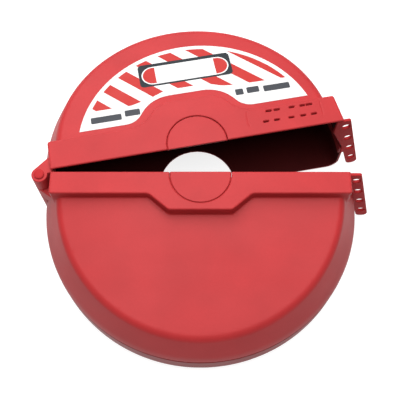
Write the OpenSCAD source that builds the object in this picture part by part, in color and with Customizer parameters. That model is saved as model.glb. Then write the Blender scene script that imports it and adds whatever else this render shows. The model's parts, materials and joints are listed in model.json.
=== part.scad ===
// Round lockout for a gate valve's handwheel: two hollow half discs that swing together on a hinge
// and close round the wheel, with a row of padlock holes where they meet.
// It lies on its back: +Z leaves the front face, +X points to the padlock holes, +Y to the upper half.
// The origin is the valve stem's axis in the plane of the back face. Each half is drawn closed and
// the upper one is then swung open by opening_angle.

/* [Casings] */
// Largest radius of each half disc
rim_r = 174; // [166:1:184]
// Distance from the split line to the centre of each half's arc
arc_shift = 11; // [0:1:14]
// Depth from the back face to the front of the raised band
depth = 118; // [112:1:126]
// Height of the seam between rear and front casing above the back face
seam_z = 44; // [42:1:48]
// Thickness of the casing walls
wall = 3; // [2.4:0.2:3.6]
// How far the front casing's side wall leans in, per unit of height
side_lean = 0.42; // [0.36:0.02:0.46]
// Depth of the recessed face below the band at the split line
drop_at_split = 8; // [6:1:11]
// Depth of the recessed face below the band at the far rim
drop_at_rim = 34; // [28:1:40]
// Radius of the rounded back edge
back_edge_r = 15; // [12:1:18]

/* [Raised band] */
// Half of the band's length
band_half = 157; // [150:1:158]
// Width of the lower half's band
lower_band = 25; // [22:1:28]
// Width of the upper half's band
upper_band = 33; // [30:1:36]
// Extra width of the lower band at the stem
lower_bump = 18; // [14:1:22]
// Extra width of the upper band at the stem
upper_bump = 25; // [20:1:28]
// How much further the upper half's band reaches at the hasp end of the split line
upper_flare = 4; // [0:1:5]

/* [Stem openings] */
// Radius of the break-out disc in the front
knockout_r = 31.5; // [28:0.5:34]
// How far the break-out disc's centre lies inside its own half
knockout_in = 3; // [0:0.5:5]
// Width of the groove round the break-out disc
knockout_groove = 0.9; // [0.6:0.1:1.4]
// Radius of the open stem notch in the back
rear_notch_r = 45; // [40:1:50]
// How far each notch's centre lies inside its own half
rear_notch_shift = 5; // [0:1:8]

/* [Hinge] */
// Distance of the hinge axis inside the rim
hinge_in = 4; // [3:0.5:4.5]
// Radius of the hinge knuckles
knuckle_r = 8.5; // [8:0.5:9.5]
// Radius of the hinge pin
pin_r = 3; // [2.5:0.25:3.5]

/* [Hasp] */
// Thickness of each hasp plate
plate_t = 3.5; // [3:0.5:4.5]
// Radius of the padlock holes
lock_hole_r = 4.5; // [4:0.25:4.5]

/* [Pose] */
// Angle by which the upper half stands open
opening_angle = 10.5; // [0:0.5:120]

/* [Hidden] */
$fn = 96;
split_gap = 0.2;
skirt = 6;
far = 400;
cut = 1;

arc_y = -arc_shift;
top_r = rim_r - side_lean * (depth - seam_z - skirt);
face_z = depth - drop_at_split;
face_tilt = atan((drop_at_rim - drop_at_split) / (rim_r + arc_shift));

bump_foot = 66;
bump_root = 108;

hinge_x = hinge_in - rim_r;
pin_play = 0.05;
scallop_r = knuckle_r + 1.2;
knuckle_gap = 0.4;
knuckle_base = 9;
hinge_top = depth - 8;
rear_pitch = (seam_z - knuckle_base) / 2;
front_pitch = (hinge_top - seam_z) / 3;
web_lean = 35;
web_l = 22;
web_inner_x = 26 - rim_r;
pin_head_h = 2.2;
retainer_h = 3;

tongue_t = 2.6;
tongue_h = 4;
tongue_play = 0.2;
seam_groove = 1.2;
seam_groove_h = 1.6;

// Hasp plate: heights of its ends, how far it stands out at the front and back, and its free inner edge
plate_top = depth - wall - 0.5;
plate_foot = 2;
plate_out_top = band_half + 12;
plate_out_foot = rim_r + 26;
plate_free_z = 40;
plate_free_w = 14;
plate_corner = 3;
plate_root = 7;
root_gap = 0.8;
root_t = 7;
band_end_z = seam_z + skirt + (rim_r - band_half) / side_lean;
lock_holes = 4;
lock_z_first = 20;
lock_pitch = 27;
lock_edge = 7;

label_t = 0.5;
label_margin = 42;
label_shift = 5;
label_rise = 2;
label_gap = 13;
label_bump = 6;

// ---- places on the closed half disc; every half is drawn on the -Y side ----

function knuckle_z(i) = i < 2 ? knuckle_base + i * rear_pitch : seam_z + (i - 2) * front_pitch;
function side_r(z) = rim_r - side_lean * max(0, z - seam_z - skirt);
function plate_outer_x(z) =
    plate_out_foot + (plate_out_top - plate_out_foot) * (z - plate_foot) / (plate_top - plate_foot);
function lock_z(i) = lock_z_first + i * lock_pitch;

// Everything on the half's own side of the split line
module own_side() {
    translate([-far, -far - split_gap, -far]) cube([2 * far, far, 2 * far]);
}

// Everything below the recessed face, lowered by inset
module below_face(inset) {
    translate([0, 0, face_z - inset]) rotate([face_tilt, 0, 0])
        translate([-far, -far, -far]) cube([2 * far, 2 * far, far]);
}

module at_hinge(z = 0) {
    translate([hinge_x, 0, z]) children();
}

// Outline of the raised band: a bar with a tapered bump at the stem, inset all round
module band_outline(width, bump, flare, inset) {
    half = band_half - inset;
    low = -(width - inset);
    tip = -(width + bump - inset);
    polygon([[-half, far], [-half, low], [-bump_root / 2 + inset / 2, low], [-bump_foot / 2 + inset / 2, tip],
             [bump_foot / 2 - inset / 2, tip], [bump_root / 2 - inset / 2, low], [half, low],
             [half + flare, 0], [half + flare, far]]);
}

// ---- front casing ----

// The front casing's solid form, inset by a wall for its hollow
module front_form(width, bump, flare, inset, foot) {
    intersection() {
        translate([0, arc_y, 0]) rotate_extrude()
            polygon([[0, foot], [rim_r - inset, foot], [rim_r - inset, seam_z + skirt],
                     [top_r - inset, depth], [0, depth]]);
        below_face(inset);
    }
    translate([0, 0, seam_z + skirt]) linear_extrude(depth - inset - seam_z - skirt)
        intersection() {
            band_outline(width, bump, flare, inset);
            translate([-far, -far]) square([2 * far, far + 2 * cut]);
        }
}

// Hollow of a half, which is closed off behind the hinge scallop
module front_hollow(width, bump, flare) {
    difference() {
        front_form(width, bump, flare, wall, seam_z - cut);
        at_hinge() cylinder(r = scallop_r + wall, h = depth);
    }
}

// One hinge knuckle with its web back to the side wall
module knuckle(z, height) {
    from_x = hinge_x - knuckle_r * sin(web_lean);
    from_y = -knuckle_r * cos(web_lean);
    to_y = from_y - web_l * sin(web_lean);
    at_hinge(z) cylinder(r = knuckle_r, h = height);
    translate([0, 0, z]) linear_extrude(height)
        polygon([[hinge_x, -split_gap], [from_x, from_y], [from_x + web_l * cos(web_lean), to_y],
                 [web_inner_x, to_y], [web_inner_x, -split_gap]]);
}

// The knuckles whose numbers are in list, counted from the back
module knuckles(list) {
    for (i = list)
        knuckle(knuckle_z(i) + knuckle_gap / 2, knuckle_z(i + 1) - knuckle_z(i) - knuckle_gap);
}

module front_casing(width, bump, flare, list) {
    difference() {
        union() {
            intersection() {
                difference() {
                    front_form(width, bump, flare, 0, seam_z);
                    front_hollow(width, bump, flare);
                    at_hinge() cylinder(r = scallop_r, h = hinge_top + knuckle_gap);
                }
                own_side();
            }
            difference() {
                knuckles(list);
                front_hollow(width, bump, flare);
            }
        }
        at_hinge() cylinder(r = pin_r + pin_play, h = depth);
        translate([0, 0, depth - wall - cut]) stem_opening(knockout_r + knockout_groove, wall + 2 * cut);
        hasp_plate_form();
    }
}

// ---- rear casing ----

// Half section of the rear pan: a wall with a rounded foot
module pan_section(radius, edge, foot, top) {
    translate([0, foot]) square([radius - edge, top - foot]);
    translate([0, foot + edge]) square([radius, top - foot - edge]);
    translate([radius - edge, foot + edge]) circle(edge);
}

module rear_section() {
    difference() {
        union() {
            pan_section(rim_r, back_edge_r, 0, seam_z - seam_groove_h);
            square([rim_r - seam_groove, seam_z]);
            square([rim_r - wall - tongue_play, seam_z + tongue_h]);
        }
        pan_section(rim_r - wall, back_edge_r - wall, wall, seam_z - 2 * tongue_h);
        translate([0, seam_z - 2 * tongue_h - cut])
            square([rim_r - wall - tongue_play - tongue_t, 3 * tongue_h + 2 * cut]);
    }
}

// The rear pan with solid backing left behind the hinge scallop
module rear_form() {
    translate([0, arc_y, 0]) rotate_extrude() rear_section();
    intersection() {
        translate([0, arc_y, wall / 2]) cylinder(r = rim_r - wall / 2, h = seam_z - wall / 2);
        at_hinge() cylinder(r = scallop_r + wall, h = depth);
    }
}

module rear_casing(list) {
    difference() {
        union() {
            intersection() {
                difference() {
                    rear_form();
                    at_hinge(-cut) cylinder(r = scallop_r, h = depth);
                    at_hinge(seam_z) cylinder(r = scallop_r + wall + tongue_play, h = depth);
                }
                own_side();
            }
            difference() {
                knuckles(list);
                translate([0, arc_y, wall]) cylinder(r = rim_r - wall, h = depth);
            }
        }
        at_hinge(-cut) cylinder(r = pin_r + pin_play, h = depth);
        translate([0, -rear_notch_shift, -cut]) cylinder(r = rear_notch_r, h = wall + 2 * cut);
        hasp_plate_form();
    }
}

// ---- break-out disc ----

module stem_opening(r, h) {
    translate([0, -knockout_in, 0]) cylinder(r = r, h = h);
    translate([-r, -knockout_in, 0]) cube([2 * r, knockout_in + cut, h]);
}

module knockout() {
    bridge_w = 3;
    bridge_t = 1.2;
    translate([0, 0, depth - wall]) intersection() {
        union() {
            stem_opening(knockout_r, wall - 0.4);
            translate([0, -knockout_in, 0]) intersection() {
                cylinder(r = knockout_r + knockout_groove, h = bridge_t);
                for (a = [200, 245, 295, 340])
                    rotate([0, 0, a]) translate([knockout_r - 2, -bridge_w / 2, 0])
                        cube([2 + 2 * knockout_groove, bridge_w, bridge_t]);
            }
        }
        own_side();
    }
}

// ---- hasp plate ----

// Plate outline in its own plane: x outwards, y up the depth
module plate_outline() {
    polygon([[band_half - plate_root, plate_top],
             [plate_out_top - plate_corner, plate_top],
             [plate_outer_x(plate_top - plate_corner), plate_top - plate_corner],
             [plate_outer_x(plate_foot + plate_corner), plate_foot + plate_corner],
             [plate_out_foot - plate_corner, plate_foot],
             [plate_out_foot - plate_free_w, plate_foot],
             [rim_r + 1, plate_free_z - 4],
             [rim_r - plate_root, plate_free_z - 4],
             [rim_r - plate_root, seam_z + skirt],
             [band_half - plate_root, band_end_z]]);
}

// Thick root that locks the plate behind the casing wall
module root_outline() {
    inner = plate_root;
    outer = wall + root_gap;
    polygon([[band_half - inner, plate_top], [band_half - outer, plate_top], [band_half - outer, band_end_z],
             [rim_r - outer, seam_z + skirt], [rim_r - outer, plate_free_z], [rim_r - inner, plate_free_z],
             [rim_r - inner, seam_z + skirt], [band_half - inner, band_end_z]]);
}

module hasp_plate_form() {
    translate([0, -split_gap, 0]) rotate([90, 0, 0]) linear_extrude(plate_t) plate_outline();
    translate([0, -split_gap, 0]) rotate([90, 0, 0]) linear_extrude(root_t) root_outline();
}

module hasp_plate() {
    difference() {
        hasp_plate_form();
        for (i = [0 : lock_holes - 1])
            translate([plate_outer_x(lock_z(i)) - lock_edge, cut, lock_z(i)])
                rotate([90, 0, 0]) cylinder(r = lock_hole_r, h = 2 * plate_t + cut);
    }
}

// ---- label ----

module label(width, bump, flare) {
    translate([0, 0, face_z]) rotate([face_tilt, 0, 0]) linear_extrude(label_t) difference() {
        translate([label_shift, arc_y - label_rise]) circle(rim_r - label_margin);
        band_outline(width, bump + label_bump, flare, -label_gap);
    }
}

// ---- hinge pin ----

module pin() {
    at_hinge(knuckle_base - retainer_h - 1) cylinder(r = pin_r, h = hinge_top - knuckle_base + retainer_h + 1);
    at_hinge(hinge_top) cylinder(r = pin_r + 2.4, h = pin_head_h);
}

module retainer() {
    at_hinge(knuckle_base - retainer_h) difference() {
        cylinder(r = pin_r + 3, h = retainer_h);
        translate([0, 0, -cut]) cylinder(r = pin_r, h = retainer_h + 2 * cut);
    }
}

// Turns a closed half into the upper one and swings it open
module upper() {
    translate([hinge_x, 0, 0]) rotate([0, 0, opening_angle]) translate([-hinge_x, 0, 0])
        mirror([0, 1, 0]) children();
}

// ---- sub-parts ----

module lower_rear_casing() { color("firebrick") rear_casing([1]); }
module lower_front_casing() { color("indianred") front_casing(lower_band, lower_bump, 0, [3]); }
module lower_knockout() { color("lightcoral") knockout(); }
module lower_hasp_plate() { color("brown") hasp_plate(); }
module upper_rear_casing() { color("firebrick") upper() rear_casing([0]); }
module upper_front_casing() {
    color("indianred") upper() front_casing(upper_band, upper_bump, upper_flare, [2, 4]);
}
module upper_knockout() { color("lightcoral") upper() knockout(); }
module upper_hasp_plate() { color("brown") upper() hasp_plate(); }
module face_label() { color("white") upper() label(upper_band, upper_bump, upper_flare); }
module hinge_pin() { color("silver") pin(); }
module pin_retainer() { color("dimgray") retainer(); }

lower_rear_casing();
lower_front_casing();
lower_knockout();
lower_hasp_plate();
upper_rear_casing();
upper_front_casing();
upper_knockout();
upper_hasp_plate();
face_label();
hinge_pin();
pin_retainer();
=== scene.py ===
"""Looks of the gate valve lockout: two hollow red half discs on a hinge, the upper one swung open.

Each casing is a distance field in millimetres, drawn closed on the -Y side of the split line and meshed
with OpenVDB. The upper half is then mirrored and swung open about the hinge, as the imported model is.
"""

import json
import math

import bmesh
import bpy
import numpy as np
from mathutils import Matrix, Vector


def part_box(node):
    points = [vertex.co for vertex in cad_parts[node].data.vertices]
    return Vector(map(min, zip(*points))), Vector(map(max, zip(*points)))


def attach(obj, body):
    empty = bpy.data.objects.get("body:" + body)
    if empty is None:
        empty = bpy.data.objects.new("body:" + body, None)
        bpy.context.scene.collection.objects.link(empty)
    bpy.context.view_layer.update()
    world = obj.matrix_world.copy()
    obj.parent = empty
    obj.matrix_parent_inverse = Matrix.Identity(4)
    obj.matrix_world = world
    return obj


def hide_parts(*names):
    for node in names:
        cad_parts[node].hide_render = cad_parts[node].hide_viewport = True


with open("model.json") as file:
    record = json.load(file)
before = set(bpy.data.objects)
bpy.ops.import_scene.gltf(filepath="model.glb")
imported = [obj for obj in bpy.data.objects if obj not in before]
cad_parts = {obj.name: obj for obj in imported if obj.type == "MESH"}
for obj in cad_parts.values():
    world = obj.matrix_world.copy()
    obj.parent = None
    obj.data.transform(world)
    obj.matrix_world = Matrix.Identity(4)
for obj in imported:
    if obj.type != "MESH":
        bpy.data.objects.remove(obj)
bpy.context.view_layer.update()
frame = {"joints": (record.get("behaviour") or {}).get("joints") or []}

import openvdb
from mathutils import Matrix, Vector

MM = 0.001

# ---- sizes in millimetres, from the frame where it has them ----


def cad_box(node):
    low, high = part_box(node)
    return low / MM, high / MM


rear_low, rear_high = cad_box("lower_rear_casing")
front_low, front_high = cad_box("lower_front_casing")
plate_low, plate_high = cad_box("lower_hasp_plate")
pin_low, pin_high = cad_box("hinge_pin")
retainer_low, retainer_high = cad_box("pin_retainer")
knockout_low, knockout_high = cad_box("lower_knockout")
joint = frame["joints"][0]

RIM_R = rear_high.x
ARC_Y = rear_low.y + RIM_R
SEAM_Z = front_low.z
DEPTH = front_high.z
SPLIT_GAP = -knockout_high.y
KNOCKOUT_R = knockout_high.x
KNOCKOUT_Y = knockout_low.y + KNOCKOUT_R
KNOCKOUT_FOOT = knockout_low.z
KNOCKOUT_TOP = knockout_high.z
WALL = DEPTH - KNOCKOUT_FOOT
HINGE_X = joint["pos_m"][0] / MM
KNUCKLE_R = HINGE_X - rear_low.x
OPENING = math.radians(-joint["range_deg"][0])

SKIRT_Z = SEAM_Z + 6
SIDE_LEAN = 0.42
DROP_AT_SPLIT = 8
DROP_AT_RIM = 34
FACE_Z = DEPTH - DROP_AT_SPLIT
FACE_TILT = math.atan((DROP_AT_RIM - DROP_AT_SPLIT) / (RIM_R - ARC_Y))
RIM_ROUND = 5
SKIRT_ROUND = 3
BACK_ROUND = 15
SEAM_ROUND = 0.8
EDGE_ROUND = 0.6

BAND_HALF = 157
BAND_OVERRUN = 80
BAND_END_ROUND = 3
BAND_ROUND = 1.8
BAND_FILLET = 1.2
BUMP_FOOT = 66
BUMP_ROOT = 108
BANDS = {
    "lower": {"width": 25, "bump": 18, "flare": 0, "root_round": 9, "foot_round": 7},
    "upper": {"width": 33, "bump": 25, "flare": 4, "root_round": 34, "foot_round": 26},
}

KNOCKOUT_GROOVE = 0.9
KNOCKOUT_WEB = 1.2
STEM_NOTCH_R = 45
STEM_NOTCH_Y = -5
SCALLOP_R = KNUCKLE_R + 1.2
BACKING_R = SCALLOP_R + WALL
# The bore clears the pin by more than a voxel's waviness
PIN_R = 3
PIN_BORE = PIN_R + 0.25
KNUCKLE_BASE = 9
KNUCKLE_GAP = 0.4
HINGE_TOP = DEPTH - 8
REAR_PITCH = (SEAM_Z - KNUCKLE_BASE) / 2
FRONT_PITCH = (HINGE_TOP - SEAM_Z) / 3
KNUCKLE_ENDS = [KNUCKLE_BASE, KNUCKLE_BASE + REAR_PITCH] + [SEAM_Z + i * FRONT_PITCH for i in range(4)]
KNUCKLE_ROUND = 0.8
WEB_LEAN = math.radians(35)
WEB_L = 22
WEB_INNER_X = 26 - RIM_R
# Which knuckles each casing carries, counted from the back
KNUCKLES = {
    "lower": {"rear": [1], "front": [3]},
    "upper": {"rear": [0], "front": [2, 4]},
}

TONGUE_R = RIM_R - WALL - 0.2
TONGUE_T = 2.6
TONGUE_H = 4
SEAM_GROOVE = 1.2
SEAM_GROOVE_H = 1.6

# Slots on the upper band, by row: row's distance from the split line, and the slots' places along it
DASH_ROWS = {26.7: (83, 92, 108.5, 120.5, 128), 14.4: (77.5, 89.5, 105.5, 118.5, 130.5)}
DASH_L = 6.5
DASH_W = 1.9
DASH_ROUND = 0.6
DASH_DEPTH = 2.2
# The faint panel round them: its ends along the band, and its edges' distances from the split line
PANEL_ENDS = (59, 140)
PANEL_EDGES = (9.5, 31)
PANEL_ROUND = 3
PANEL_LINE = 0.35
PANEL_DEPTH = 0.5

PLATE_T = 3.5
PLATE_ROOT = 3.5
PLATE_FREE_Z = 36
PLATE_FREE_W = 14
PLATE_TOP = plate_high.z
PLATE_FOOT = plate_low.z
PLATE_OUT_FOOT = plate_high.x
PLATE_OUT_TOP = BAND_HALF + 12
PLATE_CORNER = 3
PLATE_EDGE = 0.9
PLATE_PLAY = 0.1
LOCK_HOLES = 4
LOCK_R = 4.5
LOCK_Z_FIRST = 20
LOCK_PITCH = 27
LOCK_EDGE = 7

# Voxel sizes, and how far flat stretches of a mesh are simplified
COARSE = 1.0
FINE = 0.5
SIMPLIFY = 0.02

# ---- distance fields: negative inside, in millimetres ----


def both(a, b, radius=0.0):
    """Where both solids are, with the edge between their surfaces rounded."""
    if radius == 0:
        return np.maximum(a, b)
    corner = np.hypot(np.maximum(a + radius, 0), np.maximum(b + radius, 0))
    return np.minimum(-radius, np.maximum(a, b)) + corner


def either(a, b, radius=0.0):
    """Where either solid is, with a fillet in the inner corner."""
    return -both(-a, -b, radius)


def without(a, b, radius=0.0):
    return both(a, -b, radius)


def rounded(corners, radii):
    """A closed outline through the corners, each rounded by an arc of its own radius."""
    points = []
    for i, corner in enumerate(corners):
        here = np.array(corner, float)
        back = np.array(corners[i - 1], float) - here
        ahead = np.array(corners[(i + 1) % len(corners)], float) - here
        if radii[i] == 0:
            points.append(here)
            continue
        back /= np.linalg.norm(back)
        ahead /= np.linalg.norm(ahead)
        half = math.acos(float(np.clip(back @ ahead, -1, 1))) / 2
        middle = (back + ahead) / np.linalg.norm(back + ahead)
        centre = here + middle * radii[i] / math.sin(half)
        first = here + back * radii[i] / math.tan(half) - centre
        last = here + ahead * radii[i] / math.tan(half) - centre
        sweep = math.atan2(first[0] * last[1] - first[1] * last[0], first @ last)
        steps = max(2, math.ceil(abs(sweep) / math.radians(9)))
        for k in range(steps + 1):
            a = sweep * k / steps
            turn = np.array([[math.cos(a), -math.sin(a)], [math.sin(a), math.cos(a)]])
            points.append(centre + turn @ first)
    return np.array(points)


def outline_field(x, y, points):
    """Signed distance to a closed outline."""
    nearest = np.full(np.broadcast(x, y).shape, np.inf)
    inside = np.zeros(nearest.shape, bool)
    for (ax, ay), (bx, by) in zip(points, np.roll(points, -1, axis=0)):
        ex, ey = bx - ax, by - ay
        t = np.clip(((x - ax) * ex + (y - ay) * ey) / (ex * ex + ey * ey), 0, 1)
        nearest = np.minimum(nearest, np.hypot(x - ax - t * ex, y - ay - t * ey))
        if ay != by:
            inside ^= ((y < ay) != (y < by)) & (x < ax + (y - ay) * ex / ey)
    return np.where(inside, -nearest, nearest)


def slab(v, low, high):
    return np.maximum(low - v, v - high)


def band_outline(half, grow=0.0, lift=0.0):
    """The raised band with its bump at the stem, open towards the other half."""
    band = BANDS[half]
    low = -(band["width"] + grow)
    tip = low - band["bump"] - lift
    end = BAND_HALF + grow
    root = BUMP_ROOT / 2 + grow / 2
    foot = BUMP_FOOT / 2 + grow / 2
    flare = end + band["flare"]
    corners = [(-end, BAND_OVERRUN), (-end, low), (-root, low), (-foot, tip), (foot, tip), (root, low),
               (end, low), (flare, 0), (flare, BAND_OVERRUN)]
    at_end = BAND_END_ROUND + grow
    at_root = max(band["root_round"] - grow, 1)
    at_foot = band["foot_round"] + grow
    return rounded(corners, [0, at_end, at_root, at_foot, at_foot, at_root, at_end, 0, 0])


def hinge_distance(x, y):
    return np.hypot(x - HINGE_X, y)


def front_form(x, y, z, half):
    """The front casing as a solid: a leaning side wall, the tilted face and the raised band."""
    r = np.hypot(x, y - ARC_Y)
    cone = (r - RIM_R + SIDE_LEAN * (z - SKIRT_Z)) / math.hypot(1, SIDE_LEAN)
    side = both(r - RIM_R, cone, SKIRT_ROUND)
    face = (z - FACE_Z) * math.cos(FACE_TILT) - y * math.sin(FACE_TILT)
    dish = both(side, face, RIM_ROUND)
    bar = both(outline_field(x, y, band_outline(half)), z - DEPTH, BAND_ROUND)
    return either(dish, bar, BAND_FILLET)


def rear_form(x, y, z):
    """The rear casing as a solid pan with a rounded back edge."""
    return both(np.hypot(x, y - ARC_Y) - RIM_R, -z, BACK_ROUND)


def hollow(form, x, y):
    """The space inside a form, closed off behind the hinge."""
    return both(form + WALL, BACKING_R - hinge_distance(x, y))


def plate_outer_x(z):
    """Where the plate's leaning outer edge is at a height."""
    rise = (z - PLATE_FOOT) / (PLATE_TOP - PLATE_FOOT)
    return PLATE_OUT_FOOT + (PLATE_OUT_TOP - PLATE_OUT_FOOT) * rise


def plate_outline():
    """The hasp plate in its own plane: x outwards, z up the depth."""
    corners = [
        (BAND_HALF - PLATE_ROOT, PLATE_TOP),
        (PLATE_OUT_TOP, PLATE_TOP),
        (PLATE_OUT_FOOT, PLATE_FOOT),
        (PLATE_OUT_FOOT - PLATE_FREE_W, PLATE_FOOT),
        (RIM_R + 1, PLATE_FREE_Z),
        (RIM_R - PLATE_ROOT, PLATE_FREE_Z),
        (RIM_R - PLATE_ROOT, SKIRT_Z),
        (BAND_HALF - PLATE_ROOT, SKIRT_Z + (RIM_R - BAND_HALF) / SIDE_LEAN),
    ]
    return rounded(corners, [0, PLATE_CORNER, 2 * PLATE_CORNER, 2 * PLATE_CORNER, 2, 0, 0, 0])


def plate_form(x, y, z, play=0.0, edge=0.0):
    """The hasp plate without its holes, or with play the slot that it stands in."""
    flat = outline_field(x, z, plate_outline()) - play
    return both(flat, slab(y, -SPLIT_GAP - PLATE_T - play, -SPLIT_GAP), edge)


def grid(low, high, step):
    """Sparse coordinates of a box of voxels, in millimetres."""
    axes = [np.arange(a - 2 * step, b + 3 * step, step, dtype=np.float32) for a, b in zip(low, high)]
    return np.meshgrid(*axes, indexing="ij", sparse=True)


def box_outline(x, y, middle, half, radius):
    """A rounded rectangle about a middle point."""
    return both(abs(x - middle[0]) - half[0], abs(y - middle[1]) - half[1], radius)


def band_marks(x, y):
    """Outlines of the slots in the upper band's top, and of the faint panel round them."""
    left, right = PANEL_ENDS
    near, deep = PANEL_EDGES
    middle = ((left + right) / 2, -(near + deep) / 2)
    half = ((right - left) / 2, (deep - near) / 2)
    panel = abs(box_outline(x, y, middle, half, PANEL_ROUND)) - PANEL_LINE
    dashes = None
    for row, places in DASH_ROWS.items():
        for along in places:
            dash = box_outline(x, y, (along, -row), (DASH_L / 2, DASH_W / 2), DASH_ROUND)
            dashes = dash if dashes is None else either(dashes, dash)
    return dashes, panel


def stem_opening(x, y, radius):
    """Distance to the upright sides of the break-out disc, which run straight to the split line."""
    return np.hypot(x, np.minimum(y - KNOCKOUT_Y, 0)) - radius


def front_casing_field(x, y, z, half):
    """The front casing, with its hinge scallop, stem opening and hasp slot."""
    form = front_form(x, y, z, half)
    shell = without(form, hollow(form, x, y))
    reach = hinge_distance(x, y)
    shell = without(shell, both(reach - SCALLOP_R, z - HINGE_TOP - KNUCKLE_GAP))
    hole = both(stem_opening(x, y, KNOCKOUT_R + KNOCKOUT_GROOVE), DEPTH - WALL - 1 - z)
    shell = without(shell, hole, 0.4)
    shell = without(shell, plate_form(x, y, z, play=PLATE_PLAY))
    if half == "upper":
        dashes, panel = band_marks(x, y)
        shell = without(shell, both(dashes, DEPTH - DASH_DEPTH - z))
        shell = without(shell, both(panel, DEPTH - PANEL_DEPTH - z))
    shell = both(shell, y + SPLIT_GAP, EDGE_ROUND)
    return both(shell, SEAM_Z - z, SEAM_ROUND)


def rear_casing_field(x, y, z):
    """The rear casing, with the groove and tongue of its lap joint and the stem notch in its back."""
    form = rear_form(x, y, z)
    r = np.hypot(x, y - ARC_Y)
    reach = hinge_distance(x, y)
    shell = both(without(form, hollow(form, x, y)), z - SEAM_Z, SEAM_ROUND)
    groove = both(RIM_R - SEAM_GROOVE - r, SEAM_Z - SEAM_GROOVE_H - z)
    tongue_ring = slab(r, TONGUE_R - TONGUE_T, TONGUE_R)
    tongue = both(tongue_ring, slab(z, SEAM_Z - 2 * TONGUE_H, SEAM_Z + TONGUE_H), 0.5)
    tongue = both(tongue, BACKING_R + 0.2 - reach)
    shell = either(without(shell, groove), tongue)
    shell = without(shell, reach - SCALLOP_R)
    notch = both(np.hypot(x, y - STEM_NOTCH_Y) - STEM_NOTCH_R, z - WALL - 1)
    shell = without(shell, notch, EDGE_ROUND)
    shell = without(shell, plate_form(x, y, z, play=PLATE_PLAY))
    return both(shell, y + SPLIT_GAP, EDGE_ROUND)


def knuckle_field(x, y, z, numbers, form):
    """Hinge knuckles with their webs back to the side wall, bored for the pin."""
    from_x = HINGE_X - KNUCKLE_R * math.sin(WEB_LEAN)
    from_y = -KNUCKLE_R * math.cos(WEB_LEAN)
    to_y = from_y - WEB_L * math.sin(WEB_LEAN)
    web = outline_field(x, y, np.array([
        (HINGE_X, 0), (from_x, from_y), (from_x + WEB_L * math.cos(WEB_LEAN), to_y),
        (WEB_INNER_X, to_y), (WEB_INNER_X, 0)]))
    web = both(web, y + SPLIT_GAP)
    flat = either(hinge_distance(x, y) - KNUCKLE_R, web)
    field = None
    for i in numbers:
        foot = KNUCKLE_ENDS[i] + KNUCKLE_GAP / 2
        top = KNUCKLE_ENDS[i + 1] - KNUCKLE_GAP / 2
        one = both(flat, slab(z, foot, top), KNUCKLE_ROUND)
        field = one if field is None else either(field, one)
    field = without(field, hollow(form, x, y))
    return without(field, hinge_distance(x, y) - PIN_BORE)


def knockout_field(x, y, z):
    """The break-out disc, with the thin web at the bottom of its groove."""
    disc = both(stem_opening(x, y, KNOCKOUT_R), slab(z, KNOCKOUT_FOOT, KNOCKOUT_TOP), 0.4)
    rim = stem_opening(x, y, KNOCKOUT_R + KNOCKOUT_GROOVE)
    web = both(rim, slab(z, KNOCKOUT_FOOT, KNOCKOUT_FOOT + KNOCKOUT_WEB))
    return both(either(disc, web), y + SPLIT_GAP)


def plate_field(x, y, z):
    """The hasp plate with its row of padlock holes, every edge eased."""
    plate = plate_form(x, y, z, edge=PLATE_EDGE)
    for i in range(LOCK_HOLES):
        at = LOCK_Z_FIRST + i * LOCK_PITCH
        hole = np.hypot(x - plate_outer_x(at) + LOCK_EDGE, z - at) - LOCK_R
        plate = without(plate, hole, 0.8)
    return plate


# ---- meshes ----


def mesh_object(name, points, faces):
    mesh = bpy.data.meshes.new(name)
    mesh.from_pydata(points, [], faces)
    mesh.update()
    for polygon in mesh.polygons:
        polygon.use_smooth = True
    made = bpy.data.objects.new(name, mesh)
    bpy.context.scene.collection.objects.link(made)
    return made


def sample(field, at):
    """Trilinear values of a field at points given in voxels."""
    base = np.clip(np.floor(at).astype(int), 0, np.array(field.shape) - 2)
    part = at - base
    total = np.zeros(len(at))
    for corner in range(8):
        offset = np.array([corner & 1, corner >> 1 & 1, corner >> 2 & 1])
        weight = np.prod(np.where(offset, part, 1 - part), axis=1)
        total += weight * field[tuple((base + offset).T)]
    return total


def field_object(name, low, high, step, make_field):
    """Meshes the zero surface of a field over a box, with normals from the field's own slope."""
    x, y, z = grid(low, high, step)
    field = np.clip(make_field(x, y, z) / step, -3, 3).astype(np.float32)
    volume = openvdb.FloatGrid(background=3.0)
    volume.copyFromArray(field)
    points, triangles, quads = volume.convertToPolygons(isovalue=0.0, adaptivity=SIMPLIFY)
    slopes = [sample(field, points + e) - sample(field, points - e) for e in 0.5 * np.eye(3)]
    normals = np.stack(slopes, axis=1)
    normals /= np.maximum(np.linalg.norm(normals, axis=1, keepdims=True), 1e-6)
    origin = np.array([x.flat[0], y.flat[0], z.flat[0]], float)
    faces = [tuple(f) for f in triangles.tolist()] + [tuple(f) for f in quads.tolist()]
    made = mesh_object(name, (points * step + origin).tolist(), faces)
    first = made.data.polygons[0]
    if first.normal.dot(Vector(normals[first.vertices[0]])) < 0:
        made.data.flip_normals()
    made.data.normals_split_custom_set_from_vertices(normals.tolist())
    return made


def swing():
    """The turn of the upper half about the hinge, from closed to its pose at rest."""
    at = Matrix.Translation((HINGE_X, 0, 0))
    return at @ Matrix.Rotation(OPENING, 4, "Z") @ at.inverted()


def painted_shade_faces(made, form):
    """The numbers of the faces on a casing's inner walls, which are given painted shade."""
    mesh = made.data
    centres = np.empty(len(mesh.polygons) * 3)
    mesh.polygons.foreach_get("center", centres)
    x, y, z = centres.reshape(-1, 3).T
    return np.flatnonzero((abs(form(x, y, z) + WALL) < 0.7) & (y < -SPLIT_GAP - 0.5))


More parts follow.
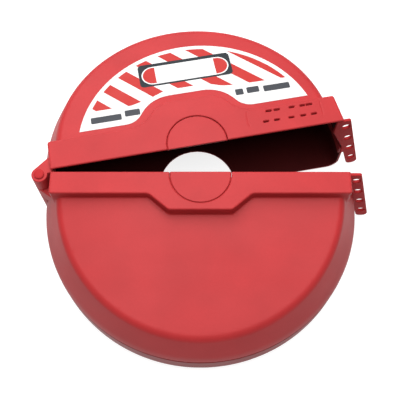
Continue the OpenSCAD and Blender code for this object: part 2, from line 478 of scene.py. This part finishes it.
def place(made, half, node, material):
    """Puts a piece drawn in millimetres on its half of the frame."""
    mesh = made.data
    mirror = Matrix.Diagonal((1, -1, 1, 1))
    move = Matrix.Scale(MM, 4)
    if half == "upper":
        move = move @ swing() @ mirror
    turn = move.to_3x3().normalized()
    normals = []
    if mesh.has_custom_normals:
        normals = [(turn @ n.vector).normalized() for n in mesh.corner_normals]
    if half == "upper" and normals:
        # flip_normals keeps each face's first corner and turns the others' order round
        order = []
        for polygon in mesh.polygons:
            span = list(polygon.loop_indices)
            order += [span[0]] + span[:0:-1]
        normals = [normals[i] for i in order]
    mesh.transform(move)
    if half == "upper":
        mesh.flip_normals()
    if normals:
        mesh.normals_split_custom_set(normals)
    finish_piece(made, half + "_half", node, material)


def finish_piece(made, body, node, material):
    """Gives a piece its material and body, in place of a node of the model."""
    made.data.materials.clear()
    made.data.materials.append(material)
    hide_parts(node)
    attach(made, body)


def paint(made, faces, material):
    """Gives some faces a second material."""
    made.data.materials.append(material)
    index = np.zeros(len(made.data.polygons), np.int32)
    index[faces] = 1
    made.data.polygons.foreach_set("material_index", index)
    made.data.update()


# ---- materials ----


class Nodes:
    """A small helper that adds and links shader nodes."""

    def __init__(self, name):
        self.material = bpy.data.materials.new(name)
        self.material.use_nodes = True
        self.tree = self.material.node_tree
        self.shader = self.tree.nodes["Principled BSDF"]
        self.place = self.add("ShaderNodeTexCoord").outputs["Object"]

    def add(self, kind, **values):
        node = self.tree.nodes.new(kind)
        for key, value in values.items():
            setattr(node, key, value)
        return node

    def link(self, out, into):
        self.tree.links.new(out, into)

    def noise(self, scale, detail=3.0, stretch=None):
        node = self.add("ShaderNodeTexNoise")
        node.inputs["Scale"].default_value = scale
        node.inputs["Detail"].default_value = detail
        source = self.place
        if stretch:
            mapping = self.add("ShaderNodeMapping")
            mapping.inputs["Scale"].default_value = stretch
            self.link(source, mapping.inputs["Vector"])
            source = mapping.outputs["Vector"]
        self.link(source, node.inputs["Vector"])
        return node.outputs["Fac"]

    def spread(self, value, low, high):
        node = self.add("ShaderNodeMapRange")
        node.inputs["From Min"].default_value = 0.3
        node.inputs["From Max"].default_value = 0.7
        node.inputs["To Min"].default_value = low
        node.inputs["To Max"].default_value = high
        self.link(value, node.inputs["Value"])
        return node.outputs["Result"]

    def blend(self, factor, first, second):
        node = self.add("ShaderNodeMix", data_type="RGBA")
        self.link(factor, node.inputs["Factor"])
        for socket, colour in ((node.inputs[6], first), (node.inputs[7], second)):
            if isinstance(colour, bpy.types.NodeSocket):
                self.link(colour, socket)
            else:
                socket.default_value = (*colour, 1)
        return node.outputs[2]

    def bump(self, layers):
        """Stacks bumps, each a (height, strength, depth in millimetres)."""
        normal = None
        for height, strength, depth in layers:
            node = self.add("ShaderNodeBump")
            node.inputs["Strength"].default_value = strength
            node.inputs["Distance"].default_value = depth * MM
            self.link(height, node.inputs["Height"])
            if normal:
                self.link(normal, node.inputs["Normal"])
            normal = node.outputs["Normal"]
        self.link(normal, self.shader.inputs["Normal"])


def shade(colour, factor):
    return tuple(min(1.0, c * factor) for c in colour)


def moulded(name, colour, roughness=0.5, specular=0.14):
    """Satin moulded plastic: fine spark-eroded grain, faint mottling and cloudy gloss."""
    n = Nodes(name)
    n.shader.inputs["Specular IOR Level"].default_value = specular
    mottle = n.noise(22, 4)
    fleck = n.noise(420, 2)
    grain = n.noise(1500, 2)
    cloud = n.noise(9, 3, stretch=(0.6, 1.6, 1.6))
    tone = n.blend(n.spread(mottle, 0, 1), shade(colour, 0.93), shade(colour, 1.06))
    tone = n.blend(n.spread(fleck, 0, 0.22), tone, shade(colour, 0.8))
    n.link(tone, n.shader.inputs["Base Color"])
    n.link(n.spread(cloud, roughness - 0.05, roughness + 0.06), n.shader.inputs["Roughness"])
    n.bump([(mottle, 0.2, 0.4), (grain, 0.35, 0.05)])
    return n.material


def printed(name, colour, roughness=0.5, specular=0.12):
    """Ink on vinyl film: an even colour with slight unevenness in gloss and film ripple."""
    n = Nodes(name)
    n.shader.inputs["Specular IOR Level"].default_value = specular
    ripple = n.noise(60, 2)
    speck = n.noise(900, 2)
    tone = n.blend(n.spread(speck, 0, 1), shade(colour, 0.96), shade(colour, 1.03))
    n.link(tone, n.shader.inputs["Base Color"])
    n.link(n.spread(ripple, roughness - 0.05, roughness + 0.08), n.shader.inputs["Roughness"])
    n.bump([(ripple, 0.15, 0.2), (speck, 0.2, 0.02)])
    return n.material


def pale_floor():
    n = Nodes("studio_floor")
    soft = n.noise(3, 3)
    grain = n.noise(300, 2)
    tone = n.blend(n.spread(soft, 0, 1), (0.30, 0.30, 0.30), (0.32, 0.32, 0.32))
    n.link(tone, n.shader.inputs["Base Color"])
    n.shader.inputs["Emission Color"].default_value = (1, 1, 1, 1)
    n.shader.inputs["Emission Strength"].default_value = 0.8
    n.link(n.spread(grain, 0.8, 0.9), n.shader.inputs["Roughness"])
    n.bump([(grain, 0.1, 0.1)])
    return n.material


RED = (0.33, 0.021, 0.023)
casing_red = moulded("casing_red", RED)
# Painted shade: the rear casings are the same red plastic, darkened here to 0.6 to stand in for the shade
# along the low rear wall
rear_painted_shade_red = moulded("rear_casing_painted_shade", shade(RED, 0.6))
# Painted shade: the inner walls are the same red plastic, made near-black here to stand in for the shade
# inside the hollow
inner_painted_shade_red = moulded("inner_wall_painted_shade", shade(RED, 0.13), roughness=0.7, specular=0.08)
knockout_red = moulded("knockout_red", RED)
plate_red = moulded("hasp_plate_red", shade(RED, 0.95), specular=0.03)
label_white = printed("label_white", (0.52, 0.515, 0.51))
print_red = printed("print_red", (0.33, 0.021, 0.018))
print_black = printed("print_black", (0.012, 0.016, 0.02))
print_grey = printed("print_grey", (0.035, 0.038, 0.045))

# ---- casings, break-out discs and hasp plates ----


def make_casings(half):
    """The front and rear shells of a half, with painted shade, a near-black red, on their inner walls."""
    front = field_object(
        half + "_front_shell", (-BAND_HALF - 20, ARC_Y - RIM_R, SEAM_Z), (RIM_R, 0, DEPTH), COARSE,
        lambda x, y, z: front_casing_field(x, y, z, half))
    inside = painted_shade_faces(front, lambda x, y, z: front_form(x, y, z, half))
    place(front, half, half + "_front_casing", casing_red)
    paint(front, inside, inner_painted_shade_red)

    rear = field_object(
        half + "_rear_shell", (-RIM_R, ARC_Y - RIM_R, 0), (RIM_R, 0, SEAM_Z + TONGUE_H), COARSE,
        rear_casing_field)
    inside = painted_shade_faces(rear, rear_form)
    place(rear, half, half + "_rear_casing", rear_painted_shade_red)
    paint(rear, inside, inner_painted_shade_red)


def make_knuckles(half):
    """The hinge knuckles, which belong to the front and rear casings by turns."""
    low = (HINGE_X - KNUCKLE_R, -KNUCKLE_R - WEB_L, KNUCKLE_BASE)
    high = (WEB_INNER_X + 2, KNUCKLE_R, HINGE_TOP)
    numbers = KNUCKLES[half]
    front = field_object(
        half + "_front_knuckles", low, high, FINE,
        lambda x, y, z: knuckle_field(x, y, z, numbers["front"], front_form(x, y, z, half)))
    place(front, half, half + "_front_casing", casing_red)
    rear = field_object(
        half + "_rear_knuckles", low, high, FINE,
        lambda x, y, z: knuckle_field(x, y, z, numbers["rear"], rear_form(x, y, z)))
    place(rear, half, half + "_rear_casing", rear_painted_shade_red)


def make_disc(half):
    reach = KNOCKOUT_R + 1
    disc = field_object(
        half + "_breakout_disc", (-reach, KNOCKOUT_Y - reach, KNOCKOUT_FOOT), (reach, 0, KNOCKOUT_TOP),
        FINE, knockout_field)
    place(disc, half, half + "_knockout", knockout_red)


def make_plate(half):
    plate = field_object(
        half + "_padlock_plate", (plate_low.x, -PLATE_T - 1, PLATE_FOOT), (PLATE_OUT_FOOT, 0, PLATE_TOP),
        FINE, plate_field)
    place(plate, half, half + "_hasp_plate", plate_red)


for half in ("lower", "upper"):
    make_casings(half)
    make_knuckles(half)
    make_disc(half)
    make_plate(half)

# ---- hinge pin and its retainer ----


def lathe(name, profile, sides=48):
    """A solid turned about the hinge axis from (radius, height) pairs, in millimetres."""
    points = []
    faces = []
    for radius, height in profile:
        for k in range(sides):
            a = math.tau * k / sides
            points.append((HINGE_X + radius * math.cos(a), radius * math.sin(a), height))
    for ring in range(len(profile) - 1):
        for k in range(sides):
            ahead = (k + 1) % sides
            low, high = ring * sides, (ring + 1) * sides
            faces.append((low + k, low + ahead, high + ahead, high + k))
    faces.append(tuple(range(sides))[::-1])
    faces.append(tuple(range(len(points) - sides, len(points))))
    made = mesh_object(name, points, faces)
    made.data.set_sharp_from_angle(angle=math.radians(40))
    return made


def make_pin():
    """The hinge pin: a rod with an eased end and a domed head."""
    foot = pin_low.z
    head = pin_high.z
    pin = lathe("hinge_rod", [
        (PIN_R - 0.6, foot),
        (PIN_R, foot + 0.6),
        (PIN_R, head - 2.2),
        (PIN_R + 2, head - 2.2),
        (PIN_R + 2.4, head - 1.8),
        (PIN_R + 2.4, head - 0.9),
        (PIN_R + 1.5, head - 0.2),
        (PIN_R, head),
    ])
    place(pin, "lower", "hinge_pin", plate_red)


def make_retainer():
    """The ring pressed on the pin's hidden end, bored for the pin."""
    foot = retainer_low.z
    top = retainer_high.z
    outer = retainer_high.x - HINGE_X
    ring = lathe("rod_retainer", [
        (outer - 0.8, foot),
        (outer, foot + 0.8),
        (outer, top - 0.4),
        (outer - 0.4, top),
    ])
    bore = lathe("retainer_bore", [(PIN_R, foot - 1), (PIN_R, top + 1)])
    cutter = ring.modifiers.new("bore", "BOOLEAN")
    cutter.object = bore
    cutter.solver = "EXACT"
    bored = ring.evaluated_get(bpy.context.evaluated_depsgraph_get())
    mesh = bpy.data.meshes.new_from_object(bored)
    ring.modifiers.clear()
    ring.data = mesh
    bpy.data.objects.remove(bore)
    # the retainer takes the rear casings' red, with its painted shade
    place(ring, "lower", "pin_retainer", rear_painted_shade_red)


make_pin()
make_retainer()

# ---- label: flat layers in the plane of the upper face, u along the split line and v away from it ----

LABEL_CENTRE = (5, 13)
LABEL_R = 132
LABEL_GAP = 13
LABEL_BUMP = 6
STRIPE_R = LABEL_R - 5
STRIPE_FIRST = -22
STRIPE_PITCH = 36.2
STRIPES = 7
STRIPE_HALF = 9
# The stripes stop above this border, which clears the bars and the bump at the stem
BORDER_U = (-130, -62, -40, -22, 26, 42, 56, 130)
BORDER_V = (71, 71, 77, 85, 85, 79, 77, 76)
# Plain bars as (middle u, middle v, length)
BARS = ((-92, 58, 34), (-62.5, 61, 17), (59.5, 66, 9), (75, 66.3, 14), (102, 65, 30))
BAR_H = 8.5
BAR_ROUND = 1.5
# The heading: a dark lozenge, a white stadium on it, red caps in the stadium and a blank plaque between them
LOZENGE_V = 110
LOZENGE_SIZE = (107, 33)
LOZENGE_ROUND = 5
HEADING_U = 5
HEADING_V = 109
STADIUM_SIZE = (101, 26)
STADIUM_LINE = 1.5
PLAQUE_L = 69


def rounded_box(middle_u, middle_v, length, height, radius):
    """A rounded rectangle as a closed outline."""
    u, v = length / 2, height / 2
    corners = [(middle_u - u, middle_v - v), (middle_u + u, middle_v - v),
               (middle_u + u, middle_v + v), (middle_u - u, middle_v + v)]
    return rounded(corners, [radius] * 4)


def sheet_outline():
    """The label's own outline: an arc that follows the rim, and the band's line with its bump."""
    band = [(u, -y) for u, y in band_outline("upper", grow=LABEL_GAP, lift=LABEL_BUMP)]
    cu, cv = LABEL_CENTRE
    inside = [(u, v) for u, v in band if math.hypot(u - cu, v - cv) < LABEL_R and v > 0]
    edge_v = inside[0][1]
    reach = math.asin((edge_v - cv) / LABEL_R)
    arc = []
    for k in range(97):
        a = reach + (math.pi - 2 * reach) * k / 96
        arc.append((cu + LABEL_R * math.cos(a), cv + LABEL_R * math.sin(a)))
    return arc + inside


def stripe_outline(middle):
    """One slanting stripe, cut off by the arc above and by the border below.

    Along a line of the stripe u + v is constant.
    """
    top = []
    foot = []
    cu, cv = LABEL_CENTRE
    for total in np.linspace(middle - STRIPE_HALF, middle + STRIPE_HALF, 25):
        # the two places where the line meets the arc's circle
        half_sum = (total - cu + cv) / 2
        gap = STRIPE_R ** 2 / 2 - (total - cu - cv) ** 2 / 4
        if gap <= 0:
            continue
        high = half_sum + math.sqrt(gap)
        low = half_sum - math.sqrt(gap)
        # where it meets the border, found by repeated steps that settle
        edge = BORDER_V[0]
        for _ in range(40):
            edge = float(np.interp(total - edge, BORDER_U, BORDER_V))
        low = max(low, edge)
        if low < high - 0.5:
            top.append((total - high, high))
            foot.append((total - low, low))
    return foot + top[::-1]


def layer(name, outlines, low, high, material):
    """Flat pieces of film between two heights above the upper face."""
    sheet = bmesh.new()
    for outline in outlines:
        foot = [sheet.verts.new((u, v, low)) for u, v in outline]
        top = [sheet.verts.new((u, v, high)) for u, v in outline]
        sheet.faces.new(foot)
        sheet.faces.new(top)
        for i in range(len(outline)):
            k = (i + 1) % len(outline)
            sheet.faces.new((foot[i], foot[k], top[k], top[i]))
    bmesh.ops.recalc_face_normals(sheet, faces=sheet.faces)
    bmesh.ops.triangulate(sheet, faces=[f for f in sheet.faces if len(f.verts) > 4])
    mesh = bpy.data.meshes.new(name)
    sheet.to_mesh(mesh)
    sheet.free()
    made = bpy.data.objects.new(name, mesh)
    bpy.context.scene.collection.objects.link(made)
    tilt = Matrix.Translation((0, 0, FACE_Z)) @ Matrix.Rotation(-FACE_TILT, 4, "X")
    mesh.transform(Matrix.Scale(MM, 4) @ swing() @ tilt)
    finish_piece(made, "upper_half", "face_label", material)


def make_label():
    length, height = STADIUM_SIZE
    inner_l = length - 2 * STADIUM_LINE
    inner_h = height - 2 * STADIUM_LINE
    # a hair under half the height, so that each end stays one arc
    stadium = rounded_box(HEADING_U, HEADING_V, length, height, height / 2 - 0.01)
    caps = rounded_box(HEADING_U, HEADING_V, inner_l, inner_h, inner_h / 2 - 0.01)
    plaque = rounded_box(HEADING_U, HEADING_V, PLAQUE_L, inner_h, 1)
    lozenge = rounded_box(HEADING_U, LOZENGE_V, *LOZENGE_SIZE, LOZENGE_ROUND)
    bars = [rounded_box(u, v, bar_l, BAR_H, BAR_ROUND) for u, v, bar_l in BARS]
    stripes = [stripe_outline(STRIPE_FIRST + i * STRIPE_PITCH) for i in range(STRIPES)]
    layer("label_sheet", [sheet_outline()], 0, 0.30, label_white)
    layer("label_stripes", stripes, 0.2, 0.34, print_red)
    layer("label_bars", bars, 0.2, 0.34, print_grey)
    layer("label_lozenge", [lozenge], 0.2, 0.38, print_black)
    layer("label_stadium", [stadium], 0.2, 0.42, label_white)
    layer("label_caps", [caps], 0.2, 0.45, print_red)
    layer("label_plaque", [plaque], 0.2, 0.48, label_white)


make_label()

# ---- stage, in metres ----

FLOOR_HALF = 6
FLOOR_DROP = 0.0005
SKY_LIGHT = 0.2
CAMERA_ELEVATION = math.radians(67.3)
CAMERA_DISTANCE = 0.767
CAMERA_AIM = Vector((-0.0005, -0.0134, 0.072))
SENSOR_MM = 36
LENS_MM = 63


def make_floor():
    sheet = bmesh.new()
    bmesh.ops.create_grid(sheet, x_segments=4, y_segments=4, size=FLOOR_HALF)
    mesh = bpy.data.meshes.new("studio_floor")
    sheet.to_mesh(mesh)
    sheet.free()
    floor = bpy.data.objects.new("studio_floor", mesh)
    bpy.context.scene.collection.objects.link(floor)
    floor.location.z = -FLOOR_DROP
    floor.data.materials.append(pale_floor())


def make_sky():
    """White to the camera, and a dim light for everything else."""
    world = bpy.data.worlds.new("studio")
    world.use_nodes = True
    sky = world.node_tree
    background = sky.nodes["Background"]
    background.inputs["Color"].default_value = (1, 1, 1, 1)
    seen = sky.nodes.new("ShaderNodeLightPath")
    level = sky.nodes.new("ShaderNodeMapRange")
    level.inputs["To Min"].default_value = SKY_LIGHT
    level.inputs["To Max"].default_value = 1.0
    sky.links.new(seen.outputs["Is Camera Ray"], level.inputs["Value"])
    sky.links.new(level.outputs["Result"], background.inputs["Strength"])
    bpy.context.scene.world = world
    bpy.context.scene.view_settings.view_transform = "Standard"


def softbox(name, location, aim, size, power):
    lamp = bpy.data.lights.new(name, "AREA")
    lamp.shape = "DISK"
    lamp.size = size
    lamp.energy = power
    made = bpy.data.objects.new(name, lamp)
    bpy.context.scene.collection.objects.link(made)
    made.location = location
    made.rotation_euler = (Vector(aim) - Vector(location)).to_track_quat("-Z", "Y").to_euler()


def make_camera():
    camera = bpy.data.objects.new("camera", bpy.data.cameras.new("camera"))
    bpy.context.scene.collection.objects.link(camera)
    camera.data.sensor_width = SENSOR_MM
    camera.data.lens = LENS_MM
    offset = Vector((0, -math.cos(CAMERA_ELEVATION), math.sin(CAMERA_ELEVATION)))
    camera.location = CAMERA_AIM + offset * CAMERA_DISTANCE
    camera.rotation_euler = (-offset).to_track_quat("-Z", "Y").to_euler()
    bpy.context.scene.camera = camera


make_floor()
make_sky()
softbox("overhead", (0, 0, 1.6), (0, 0, 0.05), 1.6, 39)
softbox("key", (-0.3, 1.1, 1.2), (0, 0, 0.05), 1.1, 23)
make_camera()
